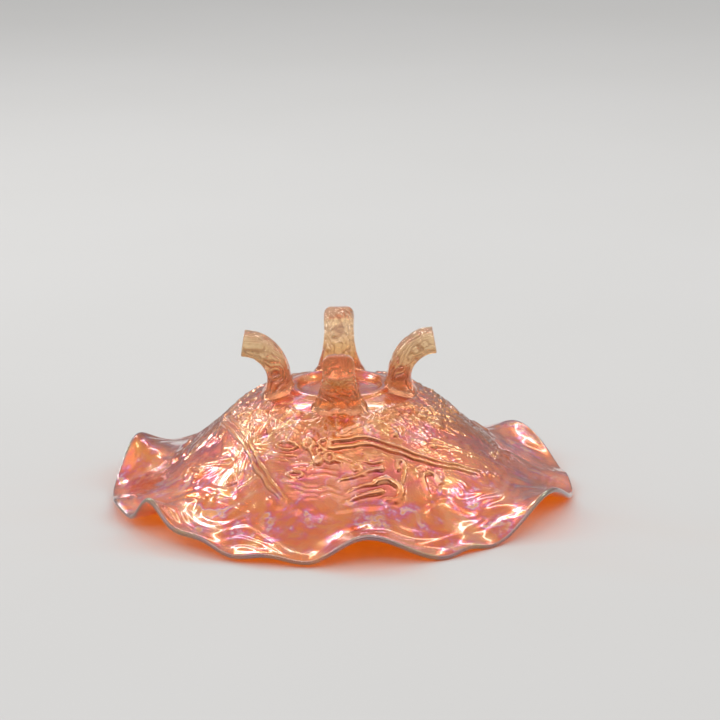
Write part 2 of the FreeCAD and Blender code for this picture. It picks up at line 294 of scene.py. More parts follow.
@dataclass(frozen=True)
class MarigoldGlass:
    """Pressed soda-lime glass, sprayed with metal salts while hot and fired: marigold carnival glass.

    The eye gets an orange body that light passes through, under a thin metallic film whose colour drifts
    from orange and salmon to rose, lilac and gold, with sharp white gloss on top. Some of that colour is
    painted
    light: a painted sheen that shifts the film's colour with the way the wall faces, a pale painted
    highlight among the film's colours, and painted shade and highlight from the grooves to the ridges of the
    pattern.
    """

    name: str = "marigold_carnival_glass"
    lip: str = "#a0808a"  # the edge, fire-polished and left grey by the spray
    body: str = "#ee7c1e"  # the glass itself, where the film is thin
    inner: str = "#f28a14"  # the inside, hardly sprayed
    body_light: str = "#ffb010"  # what one skin of the glass lets through to the surface under it
    # The film's colours, orange through rose and lilac to gold; the pale stop at 0.64 is a painted
    # highlight.
    film: tuple[tuple[float, str], ...] = (
        (0.28, "#e67026"),
        (0.38, "#e06434"),
        (0.46, "#da5c46"),
        (0.52, "#d4546a"),
        (0.57, "#ce5c90"),
        (0.61, "#cc8cb4"),
        (0.64, "#e2b8b4"),
        (0.69, "#e8986c"),
        (0.84, "#eea44a"),
    )
    # The film over the pattern, from the grooves to the ridges: its colours are the film's own, but darker
    # rose in the grooves and light gold on the ridges are painted shade and a painted highlight.
    pattern: tuple[tuple[float, str], ...] = (
        (0.0, "#cc5278"),
        (0.14, "#d46a66"),
        (0.34, "#dc8a60"),
        (0.58, "#eab078"),
        (0.9, "#f6cc94"),
    )
    pattern_share: float = 0.5
    ridge_mm: float = 2.0  # height at which a ridge is all gold, a painted highlight
    film_patch_mm: float = 30.0  # a patch of one film colour
    film_streak_mm: float = 7.0  # finer drift inside a patch
    film_gap_mm: float = 17.0  # a place where the film is thin
    grain_mm: float = 0.9  # fine moulded grain on the wall
    grain_depth: float = 0.4
    drift: float = 0.75  # how far the streaks shift the film's colour
    tilt: float = 0.35  # how far the way the wall faces shifts the film's colour: a painted sheen
    tilt_start: float = -0.13
    sheen_way: tuple[float, float, float] = (-0.35, -0.15, 0.35)  # the facing whose painted sheen shifts the film most towards rose, lilac and gold
    gap_range: tuple[float, float] = (0.38, 0.58)
    thin_body: tuple[float, float] = (0.6, -0.55)  # share of bare glass in a gap, and its change outside one
    metallic: tuple[float, float] = (0.2, 0.7)  # where the film is thin, and where it is full
    inside_loss: float = -0.7
    transmission: float = 0.85
    roughness: float = 0.2
    ior: float = 1.52
    coat: float = 1.0
    coat_roughness: float = 0.05
    film_thickness: float = 380.0  # nanometres
    film_ior: float = 1.9

    def build(self) -> bpy.types.Material:
        """Makes the material."""
        made, add = new_material(self.name)
        place = add("TexCoord").outputs["Object"]
        normal = add("NewGeometry").outputs["Normal"]
        values = ("inside", "relief", "zone", "edge")
        inside, relief, zone, edge = (add("Attribute", attribute_name=v).outputs["Fac"] for v in values)
        sizes = (self.film_patch_mm, self.film_streak_mm, self.film_gap_mm, self.grain_mm)
        patch_scale, streak_scale, gap_scale, grain_scale = (1 / (size * MM) for size in sizes)
        patch = add("TexNoise", {"Vector": place, "Scale": patch_scale, "Detail": 3.0, "Distortion": 1.4})
        streak = add("TexNoise", {"Vector": place, "Scale": streak_scale, "Detail": 4.0, "Roughness": 0.6})
        # Painted sheen: the film's colour shifts with the way the wall faces, standing in for iridescence
        # that changes with the light.
        slope = add("VectorMath", {0: normal, 1: self.sheen_way}, operation="DOT_PRODUCT")
        drift = add("Math", {0: streak, 1: self.drift, 2: -self.drift / 2}, operation="MULTIPLY_ADD")
        tilt = add("Math", {0: slope, 1: self.tilt, 2: self.tilt_start}, operation="MULTIPLY_ADD")
        value = add("Math", {0: add("Math", {0: patch, 1: drift}), 1: tilt})
        film = colour_stops(add("ValToRGB", {"Fac": value}), self.film)
        low, high = self.gap_range
        gap = add("TexNoise", {"Vector": place, "Scale": gap_scale, "Detail": 2.0, "Distortion": 0.8})
        cover = add("MapRange", {"Value": gap, "From Min": low, "From Max": high})
        bare, change = self.thin_body
        thin = add("Math", {0: cover, 1: change, 2: bare}, operation="MULTIPLY_ADD")
        sprayed = add("Mix", {"Factor": thin, "A": film, "B": linear_colour(self.body)}, data_type="RGBA")
        # Painted shade and highlight: the pattern's film darkens to rose in the grooves and lightens to gold
        # on the ridges.
        raised = add("Math", {0: relief, 1: 1 / self.ridge_mm}, operation="MULTIPLY")
        ridge_glint = colour_stops(add("ValToRGB", {"Fac": raised}), self.pattern)
        share = add("Math", {0: zone, 1: self.pattern_share}, operation="MULTIPLY")
        colour = add("Mix", {"Factor": share, "A": sprayed, "B": ridge_glint}, data_type="RGBA")
        for factor, code in ((edge, self.lip), (inside, self.inner)):
            colour = add("Mix", {"Factor": factor, "A": colour, "B": linear_colour(code)}, data_type="RGBA")
        least, most = self.metallic
        spread = add("MapRange", {"Value": cover, "To Min": least, "To Max": most})
        outer = add("Math", {0: inside, 1: self.inside_loss, 2: 1.0}, operation="MULTIPLY_ADD")
        grain = add("TexNoise", {"Vector": place, "Scale": grain_scale, "Detail": 2.0})
        bump = add("Bump", {"Height": grain, "Strength": 0.12, "Distance": self.grain_depth * MM})
        shader = add(
            "BsdfPrincipled",
            {
                "Base Color": colour,
                "Metallic": add("Math", {0: spread, 1: outer}, operation="MULTIPLY"),
                "Roughness": self.roughness,
                "IOR": self.ior,
                "Transmission Weight": self.transmission,
                "Coat Weight": self.coat,
                "Coat Roughness": self.coat_roughness,
                "Thin Film Thickness": self.film_thickness,
                "Thin Film IOR": self.film_ior,
                "Normal": bump,
            },
        )
        finish_glass(add, shader, self.body_light)
        return made


@dataclass(frozen=True)
class TwigGlass:
    """The same glass in the feet, thick and barely sprayed, with bark grain from the mould.

    The eye gets clear amber that deepens to orange at the root, with dark lines of painted shade in the
    bark's grooves.
    """

    name: str = "amber_bark_glass"
    body_light: str = "#ffd79a"
    root: str = "#f8b25c"
    tip: str = "#fadaa8"
    groove: str = "#a0561c"  # painted shade, darker brown in the grooves of the bark
    spray: str = "#dc9864"  # the film that laps up from the bowl
    root_height: float = 64.0
    tip_height: float = 88.0
    # Depths where a groove's painted shade starts and is full, and its greatest share.
    groove_range: tuple[float, float, float] = (0.25, 0.9, 0.8)
    grain_mm: float = 1.6
    grain_depth: float = 0.4
    transmission: float = 0.86
    roughness: float = 0.06
    ior: float = 1.5
    coat: float = 0.6
    coat_roughness: float = 0.03
    spray_metallic: float = 0.4

    def build(self) -> bpy.types.Material:
        """Makes the material."""
        made, add = new_material(self.name)
        place = add("TexCoord").outputs["Object"]
        height = add("SeparateXYZ", {"Vector": place}).outputs["Z"]
        bark, skirt = (add("Attribute", attribute_name=name).outputs["Fac"] for name in ("bark", "skirt"))
        low, high = self.root_height * MM, self.tip_height * MM
        rise = add("MapRange", {"Value": height, "From Min": low, "From Max": high})
        start, full, most = self.groove_range
        # Painted shade: the bark's grooves are darkened by the depth of each groove.
        lines = add("MapRange", {"Value": bark, "From Min": start, "From Max": full, "To Max": most})
        colour: NodeInput = linear_colour(self.root)
        for factor, code in ((rise, self.tip), (lines, self.groove), (skirt, self.spray)):
            colour = add("Mix", {"Factor": factor, "A": colour, "B": linear_colour(code)}, data_type="RGBA")
        scale = 1 / (self.grain_mm * MM)
        grain = add("TexNoise", {"Vector": place, "Scale": scale, "Detail": 3.0, "Distortion": 2.0})
        bump = add("Bump", {"Height": grain, "Strength": 0.2, "Distance": self.grain_depth * MM})
        shader = add(
            "BsdfPrincipled",
            {
                "Base Color": colour,
                "Metallic": add("Math", {0: skirt, 1: self.spray_metallic}, operation="MULTIPLY"),
                "Roughness": self.roughness,
                "IOR": self.ior,
                "Transmission Weight": self.transmission,
                "Coat Weight": self.coat,
                "Coat Roughness": self.coat_roughness,
                "Normal": bump,
            },
        )
        finish_glass(add, shader, self.body_light)
        return made


def finish_glass(add: partial, shader: bpy.types.Node, body_light: str) -> None:
    """Ends a glass material so that lamps shine through it and tint the surface under it.

    Args:
        add: add_node for the material's tree.
        shader: The glass as every ray but a lamp's sees it.
        body_light: sRGB hex tint of the light that one skin lets through.
    """
    lamp_ray = add("LightPath").outputs["Is Shadow Ray"]
    clear = add("BsdfTransparent", {"Color": linear_colour(body_light)})
    add("OutputMaterial", {"Surface": add("MixShader", {0: lamp_ray, 1: shader, 2: clear})})


@dataclass(frozen=True)
class StudioSweep:
    """Matt white-painted board: the eye gets a plain pale surface with the faintest mottling."""

    name: str = "matt_white_board"
    colour: str = "#cbcac9"
    shade: str = "#c7c6c4"
    mottle_mm: float = 333.3
    roughness: float = 0.9

    def build(self) -> bpy.types.Material:
        """Makes the material."""
        made, add = new_material(self.name)
        place = add("TexCoord").outputs["Object"]
        mottle = add("TexNoise", {"Vector": place, "Scale": 1 / (self.mottle_mm * MM), "Detail": 2.0})
        light, dark = linear_colour(self.colour), linear_colour(self.shade)
        colour = add("Mix", {"Factor": mottle, "A": light, "B": dark}, data_type="RGBA")
        matt = {"Base Color": colour, "Roughness": self.roughness, "Specular IOR Level": 0.0}
        add("OutputMaterial", {"Surface": add("BsdfPrincipled", matt)})
        return made


# ---- The moulded pattern ----


class Ridge(Enum):
    """Cross-section of a moulded line."""

    ROUND = "round"
    DOUBLE = "double"


@dataclass
class MouldedRelief:
    """Height of the moulded leaf pattern over the smooth outside of the bowl, at many places at once."""

    angle: np.ndarray
    radius: np.ndarray
    cone: float = 0.77  # sine of the wall's half angle: turns the wall into a flat chart of true lengths
    # Size of the places over which a hand-cut line strays, and how far: widely, then closely.
    strays: tuple[tuple[float, float], ...] = ((10.0, 1.1), (3.6, 0.25))
    wave_mm: float = 10.5  # from one soft wave of the border to the next
    warp_mm: float = 26.0  # size of the places over which the waves bend
    brush_mm: float = 6.5  # size of the soft unevenness of the wall
    height: np.ndarray = field(init=False)
    wander: np.ndarray = field(init=False)

    def __post_init__(self) -> None:
        """Starts from a smooth wall, and draws how far a hand-cut line strays from its place."""
        self.height = np.zeros_like(self.radius)
        turns = np.radians(self.angle)
        spots = np.stack([self.radius * np.sin(turns), self.radius * np.cos(turns)], axis=1)
        self.wander = np.array([self.stray(x, y) for x, y in spots])

    def stray(self, x: float, y: float) -> tuple[float, float]:
        """Gives how far the pattern strays at a spot, in millimetres each way."""
        (wide, far), (close, near) = self.strays
        sides = []
        for level in (1.7, 6.1):
            big = noise.noise(Vector((x / wide, y / wide, level)))
            small = noise.noise(Vector((x / close, y / close, -level)))
            sides.append(far * big + near * small)
        return sides[0], sides[1]

    def chart(self, angle: np.ndarray, radius: np.ndarray, centre: float) -> np.ndarray:
        """Lays places on the wall out flat.

        Args:
            angle: Degrees round the bowl.
            radius: Millimetres from the axis.
            centre: The angle that lies on the chart's Y axis.

        Returns:
            X and Y of each place in millimetres.
        """
        turn = np.radians((np.asarray(angle) - centre + 180) % 360 - 180) * self.cone
        reach = np.asarray(radius) / self.cone
        return np.stack([reach * np.sin(turn), reach * np.cos(turn)], axis=-1)

    def near(self, places: Sequence[Place], margin: float) -> tuple[np.ndarray, np.ndarray, float]:
        """Finds the vertices near a line of places.

        Args:
            places: The line.
            margin: How near, in millimetres.

        Returns:
            Their numbers, their places on a chart, and the chart's centre angle.
        """
        given = np.asarray(places, float)
        centre = float(given[:, 0].mean())
        line = self.chart(given[:, 0], given[:, 1], centre)
        low, high = line.min(0) - margin, line.max(0) + margin
        away = (self.angle - centre + 180) % 360 - 180
        rough = np.flatnonzero(np.abs(away) < 110)
        spots = self.chart(self.angle[rough], self.radius[rough], centre)
        inside = ((spots > low) & (spots < high)).all(1)
        return rough[inside], spots[inside] + self.wander[rough[inside]], centre

    def along(self, spots: np.ndarray, line: np.ndarray) -> tuple[np.ndarray, np.ndarray, np.ndarray]:
        """Measures spots against a line on the chart.

        Args:
            spots: The spots.
            line: Samples of the line.

        Returns:
            Distance from the line, share of its length at the nearest place, and side: -1 or 1.
        """
        start, step = line[:-1], np.diff(line, axis=0)
        length = np.maximum((step**2).sum(1), 1e-9)
        best = np.full(len(spots), 1e9)
        share = np.zeros(len(spots))
        side = np.ones(len(spots))
        for i, (origin, way, size) in enumerate(zip(start, step, length)):
            offset = spots - origin
            u = np.clip(offset @ way / size, 0, 1)
            gap = offset - u[:, None] * way
            distance = np.hypot(gap[:, 0], gap[:, 1])
            closer = distance < best
            best[closer] = distance[closer]
            share[closer] = (i + u[closer]) / len(step)
            side[closer] = np.sign(way[0] * gap[closer, 1] - way[1] * gap[closer, 0])
        return best, share, side

    def raise_to(self, chosen: np.ndarray, height: np.ndarray) -> None:
        """Raises vertices to a height unless they are higher already."""
        self.height[chosen] = np.maximum(self.height[chosen], height)

    def line(
        self, places: Sequence[Place], width: float, height: float, taper: float, ridge: Ridge = Ridge.ROUND
    ) -> None:
        """Moulds a raised line.

        Args:
            places: The places that it passes through.
            width: Its half width at the start.
            height: Its height.
            taper: Its size at the end, as a share of the start.
            ridge: Its cross-section.
        """
        chosen, spots, centre = self.near(places, width * 3)
        if not len(chosen):
            return
        given = np.asarray(places, float)
        line = through(self.chart(given[:, 0], given[:, 1], centre), 8 * len(given))
        distance, share, _ = self.along(spots, line)
        size = width * (1 + (taper - 1) * share)
        if ridge is Ridge.DOUBLE:
            distance = np.abs(distance - size * 0.9)
            size = size * 0.8
        cut = 1 - (distance / size) ** 2
        self.raise_to(chosen, height * (0.5 + 0.5 * size / width) * np.clip(cut, 0, 1) ** 0.75)

    def clear(self, places: Sequence[Place], width: float, share: float) -> None:
        """Calms the pattern beside a line, so that the line stands clear.

        Args:
            places: The places that the line passes through.
            width: How far from it the pattern is calmed, in millimetres.
            share: How much of the pattern's height is left on the line.
        """
        chosen, spots, centre = self.near(places, width * 1.5)
        given = np.asarray(places, float)
        line = through(self.chart(given[:, 0], given[:, 1], centre), 8 * len(given))
        distance = self.along(spots, line)[0]
        self.height[chosen] *= share + (1 - share) * smooth(distance / width - 0.3)

    def leaf(self, rib: Sequence[Place], width: float, vein_mm: float, height: float, sweep: float) -> None:
        """Moulds a feathery leaf: a lobed blade, barbs that run out from the rib, and a double midrib.

        Args:
            rib: The places that the midrib passes through, from the stalk to the tip.
            width: The blade's greatest half width.
            vein_mm: The distance between barbs.
            height: Height of the barbs.
            sweep: How far the barbs lean along the rib: 0 leaves it square.
        """
        chosen, spots, centre = self.near(rib, width * 1.5)
        given = np.asarray(rib, float)
        line = through(self.chart(given[:, 0], given[:, 1], centre), 10 * len(given))
        length = float(np.hypot(*np.diff(line, axis=0).T).sum())
        distance, share, side = self.along(spots, line)
        edge = width * np.sin(np.pi * np.clip(share, 0.03, 0.98) ** 0.8) ** 0.55
        run = share * length - distance * sweep + side * 0.8
        edge = edge * (0.84 + 0.2 * np.cos(2 * np.pi * 5 * run / length))
        blade = smooth((edge - distance) / 1.8)
        wander = np.sin(distance * 0.7 + run * 0.35) * 0.18
        barb = 0.5 + 0.5 * np.cos(2 * np.pi * (run / vein_mm + wander))
        fine = 0.5 + 0.5 * np.cos(2 * np.pi * (run * 2.3 / vein_mm + side * 0.3))
        body = blade * height * (0.25 + 0.6 * barb**1.6 + 0.2 * fine)
        rim = 0.4 * height * np.clip(1 - ((edge - distance) / 1.4) ** 2, 0, 1)
        self.raise_to(chosen, body + rim)
        self.line(rib, 2.1, 0.8 + 0.6 * height, 0.4, Ridge.DOUBLE)

    def eye(self, centre: Place, length: float, width: float, lean: float, height: float) -> None:
        """Moulds a raised line round an almond-shaped hollow.

        Args:
            centre: The middle of the hollow.
            length: Its half length.
            width: Its half width.
            lean: Direction of its length, in degrees from outwards.
            height: Height of the line.
        """
        scale = 1 / np.radians(1) / centre[1]
        ahead = np.array([math.sin(math.radians(lean)), math.cos(math.radians(lean))])
        beside = np.array([ahead[1], -ahead[0]])
        places = []
        for i in range(11):
            way = 2 * math.pi * i / 9 - 0.6
            spot = ahead * length * math.cos(way) + beside * width * math.sin(way)
            places.append((centre[0] + scale * float(spot[0]), centre[1] + self.cone * float(spot[1])))
        self.line(places, max(0.9, width * 0.42), height, 0.9)

    def ripples(self, low: float, high: float, height: float) -> None:
        """Adds the soft waves that are left in the wall and border by the mould and the crimping.

        Args:
            low: Radius where the border starts.
            high: Radius where the waves have died out.
            height: Their height on the border.
        """
        turns = np.radians(self.angle)
        x, y = self.radius * np.sin(turns), self.radius * np.cos(turns)
        warp, brush = (
            np.array([noise.noise(Vector((a / size, b / size, level))) for a, b in zip(x, y)])
            for size, level in ((self.warp_mm, 0.3), (self.brush_mm, 4.1))
        )
        wave = np.sin(2 * np.pi * (self.radius / self.wave_mm + 2.2 * warp))
        border = smooth((self.radius - low) / 9) * smooth((high - self.radius) / 6)
        wall = smooth((self.radius - 42) / 8) * smooth((low + 6 - self.radius) / 8)
        self.height += height * border * wave * (0.6 + warp) + 0.3 * wall * brush

    def bead(self, centre: Place, size: float, height: float) -> None:
        """Moulds a round bead of a given radius and height."""
        chosen, spots, middle = self.near([centre], size * 1.5)
        spot = self.chart(np.array([centre[0]]), np.array([centre[1]]), middle)[0]
        distance = np.hypot(*(spots - spot).T)
        self.raise_to(chosen, height * np.sqrt(np.clip(1 - (distance / size) ** 2, 0, 1)))

    def fan(self, centre: Place, size: float, start: float, spread: float, rays: int) -> None:
        """Moulds a fan of short lobes that start at one place.

        Args:
            centre: Where the lobes meet.
            size: Their length.
            start: Direction of the first lobe, in degrees from outwards.
            spread: Angle from the first lobe to the last.
            rays: How many lobes there are.
        """
        scale = 1 / np.radians(1) / centre[1]
        for i in range(rays):
            way = math.radians(start + spread * i / (rays - 1))
            places = [
                (
                    centre[0] + scale * size * share * math.sin(way),
                    centre[1] + self.cone * size * share * math.cos(way),
                )
                for share in (0.2, 0.6, 1.0)
            ]
            self.line(places, size * 0.13, 0.9, 1.3)

    def stipple(self, low: float, high: float, spacing: float, height: float, seed: int) -> None:
        """Moulds a field of small grains between two radii.

        Args:
            low: Where the field starts.
            high: Where it has faded out.
            spacing: Mean distance between grains.
            height: Their height.
            seed: Seed of the random places.
        """
        draw = np.random.default_rng(seed)
        area = math.pi * (high**2 - low**2) / self.cone
        count = int(area / spacing**2)
        radius = np.sqrt(draw.uniform(low**2, high**2, count))
        turn = draw.uniform(0, 2 * math.pi, count)
        tree = KDTree(count)
        for i, (r, a) in enumerate(zip(radius, turn)):
            tree.insert((r * math.sin(a), r * math.cos(a), 0), i)
        tree.balance()
        chosen = np.flatnonzero((self.radius > low) & (self.radius < high))
        turns = np.radians(self.angle[chosen])
        spots = np.stack([self.radius[chosen] * np.sin(turns), self.radius[chosen] * np.cos(turns)], 1)
        gap = np.array([tree.find((x, y, 0))[2] for x, y in spots])
        fade = smooth((high - self.radius[chosen]) / 14) * smooth((self.radius[chosen] - low) / 3)
        self.height[chosen] += height * fade * smooth(1 - gap / (spacing * 0.7))


def moved(places: Sequence[Place], turn: float) -> list[Place]:
    """Moves places round the bowl by some degrees."""
    return [(angle + turn, radius) for angle, radius in places]


@dataclass(frozen=True)
class PatternQuarter:
    """What one quarter of the mould holds. Angles are from the seam that the quarter starts at."""

    # Midrib, half width, space between barbs, their height and their lean. The great plume is first.
    leaves: tuple[tuple[tuple[Place, ...], float, float, float, float], ...]
    eye_height: float
    eyes: tuple[tuple[Place, float, float, float], ...]  # middle, half length, half width and direction
    lines: tuple[tuple[tuple[Place, ...], float, float, float], ...]  # places, half width, height and taper
    beads: tuple[tuple[Place, float, float], ...]  # middle, radius and height
    waves: tuple[tuple[float, float, float], ...] = ()  # start, end and radius of short shallow strokes
    fans: tuple[tuple[Place, float, float, float, int], ...] = ()  # middle, length, start, spread and lobes

    def mould(self, relief: MouldedRelief, turn: float) -> None:
        """Moulds the quarter.

        Args:
            relief: The field to raise.
            turn: Degrees to move the quarter round the bowl by.
        """
        for rib, *sizes in self.leaves:
            relief.leaf(moved(rib, turn), *sizes)
        for spot, *sizes in self.eyes:
            relief.eye(*moved([spot], turn), *sizes, self.eye_height)
        for places, *sizes in self.lines:
            relief.line(moved(places, turn), *sizes)
        for spot, *sizes in self.beads:
            relief.bead(*moved([spot], turn), *sizes)
        for start, end, radius in self.waves:
            places = [(start, radius), ((start + end) / 2, radius - 1.2), (end, radius + 0.4)]
            relief.line(moved(places, turn), 1.2, 0.65, 0.6)
        for spot, *sizes in self.fans:
            relief.fan(*moved([spot], turn), *sizes)


LEFT_CURL = ((-66.8, 95.5), (-69.5, 92.5), (-67.8, 90.2), (-63.5, 89.3), (-60.5, 90.8), (-61.5, 93.5))
SNAIL = ((14.6, 83.0), (18.8, 83.2), (22.0, 87.8), (20.0, 93.0), (15.8, 92.6))
CANE = ((24.3, 78.8), (24.5, 75.6), (26.4, 74.2), (28.0, 76.4), (26.4, 80.8), (23.4, 85.4))
CROOK = ((38.8, 89.5), (38.6, 85.4), (36.8, 82.9), (33.9, 83.2), (32.3, 86.8), (31.7, 92.4))

LEFT_QUARTER = PatternQuarter(
    leaves=(
        (((-84, 66.5), (-68, 65), (-51, 68.4), (-33, 79.9), (-24, 88.5), (-14, 97)), 15.0, 2.9, 0.8, 1.1),
        (((-70, 58), (-81, 66), (-88, 78), (-92, 97)), 17.0, 2.6, 1.1, 2.4),
        (((-51, 79), (-60, 84), (-75, 93)), 8.0, 2.6, 0.7, 2.0),
        (((-60, 53), (-42, 54), (-26, 58), (-13, 63)), 9.0, 2.2, 1.1, 1.2),
        (((-32, 46), (-44, 45.5), (-56, 47)), 5.0, 2.0, 1.0, 1.2),
    ),
    eye_height=1.9,
    eyes=(
        ((-42.9, 86), 5.4, 2.8, -33),
        ((-18.5, 79.1), 4.4, 2.1, 96),
        ((-27, 65.6), 6.4, 2.4, 97),
        ((-15.8, 63.1), 3.4, 3.0, 20),
        ((-7.5, 63.4), 3.6, 2.4, 60),
        ((-4.5, 70), 2.6, 2.4, 0),
        ((-9, 67.0), 2.2, 1.8, 90),
    ),
    lines=(
        (LEFT_CURL, 1.8, 2.1, 0.8),
        (((-34, 71.2), (-27, 70.4), (-20, 69.5)), 1.5, 1.1, 0.6),
        (((-33, 74.0), (-27, 73.0), (-21, 72.5)), 1.3, 0.9, 0.6),
        (((-39, 90.5), (-35, 86), (-32, 83)), 1.7, 1.1, 0.6),
        (((-14, 66), (-12, 72), (-14, 76)), 1.3, 1.4, 0.6),
        (((-57, 97), (-45, 93), (-36, 95)), 2.6, 0.8, 0.6),
        (((-52, 101), (-40, 97), (-30, 100)), 2.2, 0.7, 0.6),
        *((((-12, 83.5 + 2.4 * i), (-9, 83.2 + 2.4 * i)), 0.9, 0.5, 0.9) for i in range(6)),
    ),
    beads=(
        ((-10.1, 71.4), 3.6, 2.4),
        ((-24.7, 93.3), 2.4, 1.9),
        ((-52, 61), 2.2, 1.5),
        ((-74, 60), 2.4, 1.5),
        ((-84, 61), 2.6, 1.5),
        ((-92, 66), 2.6, 1.4),
    ),
    waves=(
        *((-22, -9, 73.6), (-20, -2, 76.0), (-13, -1, 79.2), (-25, -13, 83.0), (-23, -13, 85.6)),
        *((-20, -13, 88.2), (-8, -1, 85.5), (-7, 0, 88.5), (-46, -36, 75.5), (-62, -50, 74.0)),
        (-60, -52, 77.0),
    ),
)

RIGHT_QUARTER = PatternQuarter(
    leaves=(
        (((-3, 63.6), (13.5, 62), (28.5, 69), (41, 78), (57.5, 90), (66, 97)), 14.0, 2.9, 0.8, 1.1),
        (((1, 58), (12, 54), (22, 52.3), (36, 50.8), (47, 50.4)), 8.5, 2.2, 1.2, 1.2),
        (((50, 70), (58, 76), (67, 85), (76, 97)), 9.0, 2.8, 0.8, 1.4),
        (((56, 55), (68, 60), (80, 68), (92, 80), (98, 90)), 12.0, 2.6, 1.1, 2.0),
        (((84, 60), (88, 72), (87, 84), (83, 97)), 11.0, 2.8, 0.9, 1.8),
        (((-1, 70), (5.4, 72.5), (10, 79)), 6.5, 2.2, 1.0, 1.0),
        (((58, 47), (46, 45.5), (33, 46)), 5.0, 2.0, 1.0, 1.2),
    ),
    eye_height=1.7,
    eyes=(((88, 97), 5.5, 3.0, 80), ((80, 91), 4.6, 2.6, 80), ((7, 75), 2.6, 2.2, 30)),
    lines=(
        (SNAIL, 2.9, 2.6, 0.8),
        (CANE, 1.5, 2.0, 0.8),
        (CROOK, 2.0, 2.2, 0.8),
        (((15, 88.4), (9, 89.2), (1.5, 92.0)), 2.4, 1.8, 0.4),
        (((14, 84.2), (8, 85), (2.2, 87.2)), 1.8, 1.3, 0.4),
        (((17, 77.2), (13, 77.0), (7, 79.4), (-0.8, 81.3)), 2.2, 1.5, 0.35),
        (((14, 95.5), (8, 95), (-1, 97.5)), 2.2, 1.0, 0.6),
        (((19, 73.5), (13, 73.6), (8, 71.5)), 1.2, 1.3, 0.6),
        (((21, 70.5), (15, 69.5), (10, 67.6)), 1.2, 1.2, 0.6),
        (((35, 78), (31, 80), (30, 84)), 1.3, 1.0, 0.6),
        (((44, 84), (40, 82), (41, 79.5)), 1.2, 1.0, 0.6),
        (((26, 100), (38, 97), (52, 101)), 2.4, 0.8, 0.6),
    ),
    beads=(
        ((47, 71), 2.4, 1.6),
        ((54, 74), 2.2, 1.3),
        ((31, 61), 2.2, 1.4),
        ((17, 77.2), 2.4, 1.9),
        ((70, 56), 2.4, 1.6),
        ((80, 60), 2.6, 1.6),
    ),
    fans=(((43.1, 86), 12.0, -42, 84, 7), ((12, 68), 6.0, -30, 120, 5)),
)


@dataclass
class LeafPattern:
    """The whole pattern: two like halves, each of two quarters that meet at a seam."""

    seam_angle: float = -2.0
    # Places where the seam starts and ends, and its height.
    seams: tuple[tuple[float, float, float], ...] = ((42, 60, 0.35), (86, 102, 0.3))
    # Where it starts and has faded out, space between grains, their height and their seed.
    stipples: tuple[tuple[float, float, float, float, int], ...] = (
        (43, 76, 1.8, 0.5, 11),
        (42, 74, 5.2, 0.6, 5),
    )
    rib_width: float = 2.7
    rib_height: float = 2.1
    clearing: float = 5.5  # how far from a great rib the pattern is calmed

    def mould(self, relief: MouldedRelief) -> None:
        """Moulds the whole pattern.

        Args:
            relief: The field to raise.
        """
        for turn in (0, 180):
            LEFT_QUARTER.mould(relief, turn)
            RIGHT_QUARTER.mould(relief, turn)
        for turn in (0, 90, 180, 270):
            for low, high, height in self.seams:
                places = [(self.seam_angle, radius) for radius in (low, (low + high) / 2, high)]
                relief.line(moved(places, turn), 0.9, height, 1.0)
        for low, high, spacing, height, seed in self.stipples:
            relief.stipple(low, high, spacing, height, seed)
        for turn in (0, 180):
            for quarter in (LEFT_QUARTER, RIGHT_QUARTER):
                rib = moved(quarter.leaves[0][0], turn)
                relief.clear(rib, self.clearing, 0.2)
                relief.line(rib, self.rib_width, self.rib_height, 0.45, Ridge.DOUBLE)
        relief.height *= smooth((103 - relief.radius) / 6)


# ---- The bowl ----


